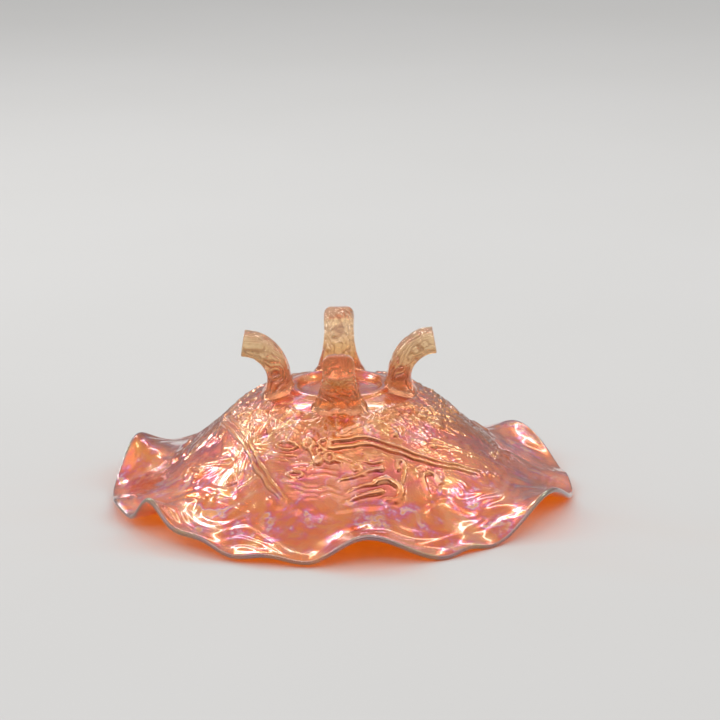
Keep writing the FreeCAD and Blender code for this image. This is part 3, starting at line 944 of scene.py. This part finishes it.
@dataclass
class RuffledBowl:
    """The base, the patterned wall and the crimped rim, as the one closed skin of glass that they are."""

    ring_radius: float = 31.0
    # Radius and height of the ring's soft section, from the medallion to the wall.
    ring_places: tuple[tuple[float, float], ...] = (
        *((19.6, 62.8), (21.6, 63.1), (23.4, 64.2), (25.0, 65.8)),
        *((26.8, 66.6), (28.8, 66.4), (30.2, 65.6), (31.0, 64.4)),
    )
    medallion_top: float = 62.94
    inside_floor: float = 59.74
    shoulder_top: float = 64.4
    shoulder_radius: float = 60.0
    shoulder_centre: float = 22.0
    wall_thickness: float = 4.6
    joint_radius: float = 92.0
    joint_height: float = 25.0
    rim_radius: float = 131.0
    rim_oval: float = 2.5
    lip_thickness: float = 3.4
    rim_poles: int = 120
    section_poles: int = 7
    lip_poles: int = 5
    columns: int = 560
    ripple: float = 0.5  # height of the soft waves on the border
    # Angle, height and reach of each crest and of the low places and small crimps between the crests.
    rim_places: tuple[tuple[float, float, float], ...] = (
        *((6.0, 15.5, -0.5), (26.0, -0.4, 2.0), (32.5, 2.7, 0.0), (39.5, -0.5, 0.0)),
        *((60.0, 18.5, 1.5), (82.0, 1.0, 1.0), (91.0, 4.5, -1.5), (100.0, 1.0, -1.5)),
        *((124.0, 15.5, -1.5), (140.0, 4.0, 0.0), (151.0, 5.5, -1.0), (163.0, 1.5, 0.0)),
        *((187.0, 17.0, -1.0), (206.0, 2.5, 0.0), (215.5, 4.5, 0.0), (227.0, 3.0, 1.5)),
        *((256.0, 24.0, -7.0), (269.0, 1.5, -1.0), (279.0, 2.5, -1.0), (287.0, 8.0, 1.5)),
        *((297.0, 5.0, 0.0), (306.0, 22.5, 0.0), (316.0, 9.5, 1.0), (324.0, 8.5, 0.0)),
        *((333.0, 1.5, 1.0), (342.0, 4.5, 0.0), (351.5, 1.0, 0.0)),
    )

    def __post_init__(self) -> None:
        """Works out the wall's section."""
        across = self.ring_radius - self.shoulder_centre
        self.centre_height = self.shoulder_top - math.sqrt(self.shoulder_radius**2 - across**2)
        away = self.joint_radius - self.shoulder_centre
        down = self.joint_height - self.centre_height
        self.lean = math.atan2(down, away) + math.acos(self.shoulder_radius / math.hypot(away, down))
        self.fall = math.cos(self.lean) / math.sin(self.lean)

    def wall_line(self, offset: float, steps: np.ndarray) -> np.ndarray:
        """Gives the wall's section at a depth under its outside.

        Args:
            offset: The depth.
            steps: Shares of the way from the foot ring to the joint with the rim.

        Returns:
            Radius and height of each step.
        """
        radius = self.shoulder_radius - offset
        across = self.ring_radius - self.shoulder_centre
        first = math.acos(across / radius)
        arc = radius * (first - self.lean)
        way = np.array([math.cos(self.lean), math.sin(self.lean)])
        middle = np.array([self.shoulder_centre, self.centre_height])
        turn_end = middle + way * radius
        joint = np.array([self.joint_radius, self.joint_height]) - way * offset
        straight = float(np.hypot(*(joint - turn_end)))
        run = steps * (arc + straight)
        turned = first - np.minimum(run, arc) / radius
        on_arc = middle + radius * np.stack([np.cos(turned), np.sin(turned)], 1)
        over = np.maximum(run - arc, 0)[:, None] / straight
        return on_arc + over * (joint - turn_end)

    def rim_value(self, angle: np.ndarray, column: int) -> np.ndarray:
        """Height or reach of the rim's edge, level at each crest and low place.

        Args:
            angle: Degrees round the bowl.
            column: 1 for the height, 2 for the reach.

        Returns:
            The value at each angle.
        """
        places = np.array(self.rim_places)
        turns = np.vstack([places[-2:] - (360, 0, 0), places, places[:2] + (360, 0, 0)])
        at, value = turns[:, 0], turns[:, column]
        step = np.diff(value) / np.diff(at)
        product = step[:-1] * step[1:]
        total = np.where(product > 0, step[:-1] + step[1:], 1.0)
        slope = np.concatenate([[0], np.where(product > 0, 2 * product / total, 0), [0]])
        angle = (angle - places[0, 0]) % 360 + places[0, 0]
        here = np.clip(np.searchsorted(at, angle, side="right") - 1, 1, len(at) - 3)
        width = at[here + 1] - at[here]
        u = (angle - at[here]) / width
        eased = value[here] * (1 + 2 * u) * (1 - u) ** 2 + value[here + 1] * u * u * (3 - 2 * u)
        return eased + width * u * (1 - u) * (slope[here] * (1 - u) - slope[here + 1] * u)

    def rim_net(self) -> np.ndarray:
        """Poles of the rim's surface: section by angle by radius, angle and height."""
        angle = np.arange(self.rim_poles) * 360 / self.rim_poles
        rise = self.rim_value(angle, 1)
        reach = self.rim_value(angle, 2)
        end = self.rim_radius - self.rim_oval * np.cos(2 * np.radians(angle)) + reach
        way = np.array([math.cos(self.lean), math.sin(self.lean)])
        middle = np.array([self.joint_radius, self.joint_height]) - way * self.wall_thickness / 2
        span = end - middle[0]
        lift = rise + self.lip_thickness / 2 - (middle[1] - span * self.fall)
        outside, inside = [], []
        for i in range(self.section_poles):
            share = i / (self.section_poles - 1)
            radius = middle[0] + span * share
            height = middle[1] - span * share * self.fall + lift * share**2
            slope = -self.fall + lift * 2 * share / span
            size = np.hypot(slope, 1)
            across, up = -slope / size, 1 / size
            half = (self.wall_thickness * (1 - share) + self.lip_thickness * share) / 2
            outside.append((radius + across * half, height + up * half))
            inside.append((radius - across * half, height - up * half))
        lip = []
        for i in range(1, self.lip_poles + 1):
            turn = math.pi * i / (self.lip_poles + 1)
            along, over = half * math.sin(turn), half * math.cos(turn)
            lip.append((radius + across * over + up * along, height + up * over - across * along))
        section = np.array(outside + lip + inside[::-1])
        swell = 6 / (4 + 2 * math.cos(2 * math.pi / self.rim_poles))
        turn = np.radians(angle)
        x = section[:, 0] * swell * np.sin(turn)
        y = -section[:, 0] * swell * np.cos(turn)
        return np.stack([x, y, section[:, 1]], axis=-1)

    def rim_rows(self, places: np.ndarray, columns: int) -> np.ndarray:
        """Rows of points on the rim's surface.

        Args:
            places: Where on the section, from 0 at the outside joint to 16 at the inside one.
            columns: Points in each row.

        Returns:
            Row by column by X, Y and Z.
        """
        net = self.rim_net()
        sections = np.einsum("rs,sax->rax", spline_weights(net.shape[0], places), net)
        return np.einsum("ca,rax->rcx", ring_weights(self.rim_poles, columns), sections)

    def turned(self, section: np.ndarray, columns: int) -> np.ndarray:
        """Turns a section round the axis into rows of points."""
        turn = np.arange(columns) * 2 * math.pi / columns
        radius, height = section[:, 0, None], section[:, 1, None]
        level = np.broadcast_to(height, (len(section), columns))
        return np.stack([radius * np.sin(turn), -radius * np.cos(turn), level], axis=-1)

    def moulded(self, rows: np.ndarray, pattern: bool) -> tuple[np.ndarray, np.ndarray]:
        """Raises the outside of the glass by its pattern and its soft waves.

        Args:
            rows: Rows of points on the smooth outside.
            pattern: Whether the leaf pattern reaches these rows.

        Returns:
            The raised rows, and each point's height over the smooth surface.
        """
        down = np.gradient(rows, axis=0)
        round_way = np.roll(rows, -1, axis=1) - np.roll(rows, 1, axis=1)
        normal = np.cross(round_way, down)
        normal /= np.linalg.norm(normal, axis=-1, keepdims=True)
        normal *= np.sign(normal[..., 2:3])
        angle = np.degrees(np.arctan2(rows[..., 0], -rows[..., 1]))
        radius = np.hypot(rows[..., 0], rows[..., 1])
        relief = MouldedRelief(angle.ravel(), radius.ravel())
        if pattern:
            LeafPattern().mould(relief)
        relief.ripples(self.joint_radius, self.rim_radius - 1, self.ripple)
        height = relief.height.reshape(radius.shape) * smooth((radius - self.ring_radius) / 4)
        return rows + normal * height[..., None], height

    def base_section(self) -> np.ndarray:
        """Section of the medallion and the foot ring, from near the axis to the wall."""
        middle = [(r, self.medallion_top + 0.3 * math.cos(r * 1.3)) for r in (3, 6, 9, 12, 15, 18)]
        return np.array(middle + [tuple(place) for place in through(self.ring_places, 22)])

    def build(self) -> bpy.types.Object:
        """Builds the bowl's skin.

        Returns:
            The piece, with the values that its finish reads at each vertex.
        """
        inwards = np.linspace(1, 0, 20)
        wall = self.turned(self.wall_line(0.0, np.linspace(0, 1, 104)), self.columns)
        start_of_border = self.rim_rows(np.linspace(0, 2.0, 24), self.columns)
        pattern, height = self.moulded(np.concatenate([wall, start_of_border[1:]]), True)
        border = self.moulded(self.rim_rows(np.linspace(2.0, 5.0, 34), self.columns // 2), False)[0]
        blocks = [
            self.turned(self.base_section()[:2], self.columns // 8),
            self.turned(self.base_section()[2:6], self.columns // 4),
            self.turned(self.base_section()[6:], self.columns // 2),
            pattern,
            border[1:],
            self.rim_rows(np.linspace(5.0, 11.0, 15)[1:], self.columns // 2),
            self.rim_rows(np.linspace(11.0, 16.0, 22)[1:], self.columns // 2),
            self.turned(self.wall_line(self.wall_thickness, inwards[1:]), self.columns // 4),
            self.turned(np.array([(r, self.inside_floor) for r in (24.0, 16.0, 8.0)]), self.columns // 8),
        ]
        rows = [row for block in blocks for row in block]
        points = np.concatenate([[(0, 0, self.medallion_top + 0.25)], *rows, [(0, 0, self.inside_floor)]])
        faces: list[tuple[int, ...]] = []
        start = 1
        faces += [(0, start + (i + 1) % len(rows[0]), start + i) for i in range(len(rows[0]))]
        for here, there in zip(rows, rows[1:]):
            faces += stitch(start, len(here), start + len(here), len(there))
            start += len(here)
        last = len(points) - 1
        faces += [(last, start + i, start + (i + 1) % len(rows[-1])) for i in range(len(rows[-1]))]
        piece = make_piece("bowl_glass", points, faces)
        relief = np.zeros(len(points), np.float32)
        before = 1 + sum(len(row) for block in blocks[:3] for row in block)
        relief[before : before + height.size] = height.ravel()
        edge = np.zeros(len(points), np.float32)
        before = 1 + sum(len(row) for block in blocks[:5] for row in block)
        across = len(blocks[5])
        for i, row in enumerate(blocks[5]):
            edge[before : before + len(row)] = smooth(1.6 * math.sin(math.pi * (i + 0.5) / across) - 0.1)
            before += len(row)
        reach = np.hypot(points[:, 0], points[:, 1])
        zone = smooth((97 - reach) / 10) * smooth((reach - 38) / 6) * (relief != 0)
        inside = np.zeros(len(points), np.float32)
        inside[before:] = 1
        for name, values in (("relief", relief), ("zone", zone), ("edge", edge), ("inside", inside)):
            add_values(piece, name, values)
        return piece


# ---- The feet ----


class Quarter(Enum):
    """Where a foot stands, as its node and its angle round the bowl."""

    FRONT = ("foot_front", 0.0)
    RIGHT = ("foot_right", 90.0)
    BACK = ("foot_back", 180.0)
    LEFT = ("foot_left", 270.0)


@dataclass
class TwigFoot:
    """A foot like a sawn twig, with bark grain on its sides and a pleated flare at its root."""

    quarter: Quarter
    ground: np.ndarray  # radius and height of the outside of the bowl under the foot, outwards
    # Reach from the axis, height, lean in degrees, half width and half depth of each section.
    sections: tuple[tuple[float, float, float, float, float], ...] = (
        (35.4, 60.2, 0.0, 15.8, 9.4),
        (35.0, 64.0, 0.0, 14.4, 8.2),
        (34.8, 69.0, 4.0, 12.4, 7.2),
        (35.7, 75.5, 16.0, 10.3, 6.8),
        (38.6, 81.8, 35.0, 9.3, 7.0),
        (43.3, 87.0, 54.0, 8.9, 7.3),
        (49.0, 90.3, 71.0, 9.0, 7.4),
        (55.2, 91.4, 80.0, 9.2, 7.2),
    )
    around: int = 120
    along: int = 96
    squareness: float = 2.9
    bark_depth: float = 0.65
    bark_lines: float = 15.0  # grooves round the twig
    stand_height: float = 98.0
    pleats: int = 40
    skirt_height: float = 1.6  # where the pleats end and the bowl's film begins, over the bowl
    fillet: float = 1.3  # how far the root spreads over the bowl

    def grain(self, turn: float, run: float, seed: float) -> float:
        """Depth of the bark's grooves, which run along the twig and close round knots.

        Args:
            turn: Angle round the twig, in radians.
            run: Millimetres along it.
            seed: Number that sets this foot's grain apart.

        Returns:
            A value from 0 on a ridge to 1 in a groove.
        """
        spot = Vector((math.cos(turn) * 1.3 + seed, math.sin(turn) * 1.3, run * 0.09))
        fine = Vector((math.cos(turn) * 4.0, math.sin(turn) * 4.0 + seed, run * 0.3))
        wander = noise.noise(spot) * 2.6 + noise.noise(fine) * 0.35
        return (0.5 + 0.5 * math.cos(self.bark_lines * turn + 2 * math.pi * wander)) ** 3

    def build(self) -> bpy.types.Object:
        """Builds the foot.

        Returns:
            The piece.
        """
        name, angle = self.quarter.value
        line = through(self.sections, self.along)
        travelled = np.concatenate([[0], np.cumsum(np.hypot(*np.diff(line[:, :2], axis=0).T))])
        power = 2 / self.squareness
        rows = []
        bark: list[float] = []
        skirt: list[float] = []
        for (reach, rise, lean, width, depth), run in zip(line, travelled):
            tilt = math.radians(lean)
            row = []
            for i in range(self.around):
                turn = 2 * math.pi * i / self.around
                side, front = math.sin(turn), math.cos(turn)
                across = width * math.copysign(abs(side) ** power, side)
                out = depth * math.copysign(abs(front) ** power, front)
                under = float(np.interp(math.hypot(reach + out, across), *self.ground.T))
                over = max(0.0, rise - out * math.sin(tilt) - under)
                ease = min(1.0, over / 5) * min(1.0, (travelled[-1] - run) / 3 + 0.2)
                groove = self.grain(turn, run, angle * 0.1) * ease
                pleat = math.cos(self.pleats * turn)
                above = over + 0.4 * pleat - self.skirt_height
                cut = 0.3 * pleat * math.exp(-(((above - 1.0) / 1.8) ** 2)) - self.bark_depth * groove
                cut += self.fillet * math.exp(-over / 1.4)
                bark.append(groove)
                skirt.append(float(smooth(0.5 - above / 2.0)))
                size = math.hypot(across, out) or 1.0
                across, out = across * (1 + cut / size), out * (1 + cut / size)
                x = reach + out * math.cos(tilt)
                z = rise - out * math.sin(tilt)
                row.append((x, across, min(z, self.stand_height)))
            rows.append(row)
        centre, rim_row = line[-1], rows[-1]
        tilt = math.radians(centre[2])
        middle = np.array([centre[0], 0.0, centre[1]])
        ahead = np.array([math.sin(tilt), 0.0, math.cos(tilt)])
        for share, push in ((0.9, 0.45), (0.72, 0.3), (0.5, 0.42), (0.25, 0.36)):
            ring = middle + (np.array(rim_row) - middle) * share + ahead * push
            ring[:, 2] = np.minimum(ring[:, 2], self.stand_height)
            rows.append([tuple(p) for p in ring])
        reach, rise = self.sections[0][:2]
        ends = [tuple(middle + ahead * 0.4), (reach, 0.0, rise)]
        points = np.array([p for row in rows for p in row] + ends)
        turn = math.radians(angle - 90)
        spin = np.array(
            [[math.cos(turn), -math.sin(turn), 0], [math.sin(turn), math.cos(turn), 0], [0, 0, 1]]
        )
        points = points @ spin.T
        faces: list[tuple[int, ...]] = []
        for i in range(len(rows) - 1):
            faces += stitch(i * self.around, self.around, (i + 1) * self.around, self.around)
        tip, root = len(points) - 2, len(points) - 1
        end = (len(rows) - 1) * self.around
        for i in range(self.around):
            there = (i + 1) % self.around
            faces.append((tip, end + i, end + there))
            faces.append((root, there, i))
        piece = make_piece(name.replace("foot", "twig"), points, faces)
        spare = len(points) - len(bark)
        add_values(piece, "bark", bark + [0.0] * spare)
        add_values(piece, "skirt", skirt + [0.0] * spare)
        return piece


# ---- Studio ----


@dataclass
class Studio:
    """Plain pale board, soft lamps and the camera."""

    lens: float = 130.0
    sensor: float = 36.0
    distance: float = 1.508
    elevation: float = 16.0
    roll: float = -0.98
    target: tuple[float, float, float] = (0.0122, 0.0, 0.08)
    board: float = 14.0
    # Name, place, width, length and watts of each lamp.
    lamps: tuple[tuple[str, tuple[float, float, float], float, float, float], ...] = (
        ("window_front", (0.0, -0.9, 1.7), 2.0, 1.2, 4.5),
        ("strip_left", (-1.2, 0.7, 0.9), 0.05, 0.9, 4.5),
        ("strip_back_left", (-0.5, 1.2, 1.3), 0.05, 0.6, 2.6),
        ("strip_right", (1.2, 0.3, 1.0), 0.05, 0.9, 2.6),
        ("strip_front", (-0.4, -1.2, 1.1), 1.0, 0.05, 2.6),
        ("strip_back", (0.25, 1.25, 1.35), 1.3, 0.06, 3.4),
    )
    room_light: float = 1.3
    # How light the room is from the floor's level up to overhead.
    room: tuple[tuple[float, str], ...] = (
        (0.0, "#b0b0b0"),
        (0.2, "#a8a8a8"),
        (0.45, "#dcdcdc"),
        (0.7, "#f8f8f8"),
        (0.86, "#e2e2e2"),
        (1.0, "#dcdcdc"),
    )

    # How light it is from the front, round through overhead, to the back.
    room_depth: tuple[tuple[float, str], ...] = (
        (0.0, "#747474"),
        (0.12, "#b4b4b4"),
        (0.28, "#ffffff"),
        (0.5, "#f4f4f4"),
        (1.0, "#cacaca"),
    )

    def build_floor(self) -> bpy.types.Object:
        """Lays the board.

        Returns:
            The board.
        """
        half = self.board / 2
        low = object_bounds()[0].z
        mesh = bpy.data.meshes.new("pale_board")
        corners = [(-half, -half, low), (half, -half, low), (half, half, low), (-half, half, low)]
        mesh.from_pydata(corners, [], [(0, 1, 2, 3)])
        board = bpy.data.objects.new("pale_board", mesh)
        bpy.context.scene.collection.objects.link(board)
        board.data.materials.append(StudioSweep().build())
        board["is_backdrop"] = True
        return board

    def build_light(self) -> None:
        """Hangs the softboxes and fills the room with even light."""
        for name, place, width, length, power in self.lamps:
            lamp = bpy.data.lights.new(name, "AREA")
            lamp.shape = "RECTANGLE"
            lamp.size = width
            lamp.size_y = length
            lamp.energy = power
            hung = bpy.data.objects.new(name, lamp)
            hung.location = place
            aim = Vector((0, 0, 0.04)) - Vector(place)
            hung.rotation_euler = aim.to_track_quat("-Z", "Y").to_euler()
            bpy.context.scene.collection.objects.link(hung)
        world = bpy.data.worlds.new("soft_room")
        world.use_nodes = True
        tree = world.node_tree
        add = partial(add_node, tree)
        way = add("SeparateXYZ", {0: add("TexCoord").outputs["Generated"]}).outputs
        rise = colour_stops(add("ValToRGB", {"Fac": way["Z"]}), self.room)
        ahead = add("Math", {0: way["Y"], 1: 0.5, 2: 0.5}, operation="MULTIPLY_ADD")
        depth = colour_stops(add("ValToRGB", {"Fac": ahead}), self.room_depth)
        even = add("Math", {0: depth, 1: self.room_light}, operation="MULTIPLY")
        background = tree.nodes["Background"]
        tree.links.new(rise.outputs["Color"], background.inputs["Color"])
        tree.links.new(even.outputs[0], background.inputs["Strength"])
        bpy.context.scene.world = world
        bpy.context.scene.view_settings.view_transform = "Standard"

    def build_camera(self) -> bpy.types.Object:
        """Sets up the camera.

        Returns:
            The camera.
        """
        tilt, roll = math.radians(self.elevation), math.radians(self.roll)
        back = Vector((0, -math.cos(tilt), math.sin(tilt)))
        right = Vector((1, 0, 0))
        up = back.cross(right)
        turned_right = right * math.cos(roll) + up * math.sin(roll)
        turned_up = up * math.cos(roll) - right * math.sin(roll)
        data = bpy.data.cameras.new("camera")
        data.lens = self.lens
        data.sensor_width = self.sensor
        data.clip_end = 40
        camera = bpy.data.objects.new("camera", data)
        turn = Matrix((turned_right, turned_up, back)).transposed().to_4x4()
        place = Vector(self.target) + back * self.distance
        camera.matrix_world = Matrix.Translation(place) @ turn
        bpy.context.scene.collection.objects.link(camera)
        bpy.context.scene.camera = camera
        return camera


def dress(piece: bpy.types.Object, finish: bpy.types.Material, nodes: Sequence[str]) -> None:
    """Gives a piece its finish, and puts it in the place of its CAD nodes.

    Args:
        piece: The piece.
        finish: Its material.
        nodes: The CAD nodes that it stands for.
    """
    piece.data.materials.append(finish)
    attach(piece, BODY)
    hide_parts(*nodes)
    LOG.info("%s: %d faces, for %s", piece.name, len(piece.data.polygons), ", ".join(nodes))


def main() -> None:
    """Builds the bowl, its feet and the studio."""
    logging.basicConfig(level=logging.INFO, format="%(name)s %(message)s")
    studio = Studio()
    studio.build_camera()
    studio.build_floor()
    studio.build_light()
    marigold = MarigoldGlass().build()
    amber = TwigGlass().build()
    shape = RuffledBowl()
    bowl = shape.build()
    dress(bowl, marigold, ["bowl_wall", "ruffled_rim", "foot_ring", "centre_medallion"])
    ground = np.concatenate([shape.base_section(), shape.wall_line(0.0, np.linspace(0.01, 1, 100))])
    for quarter in Quarter:
        dress(TwigFoot(quarter, ground).build(), amber, [quarter.value[0]])


if __name__ == "__main__":
    main()
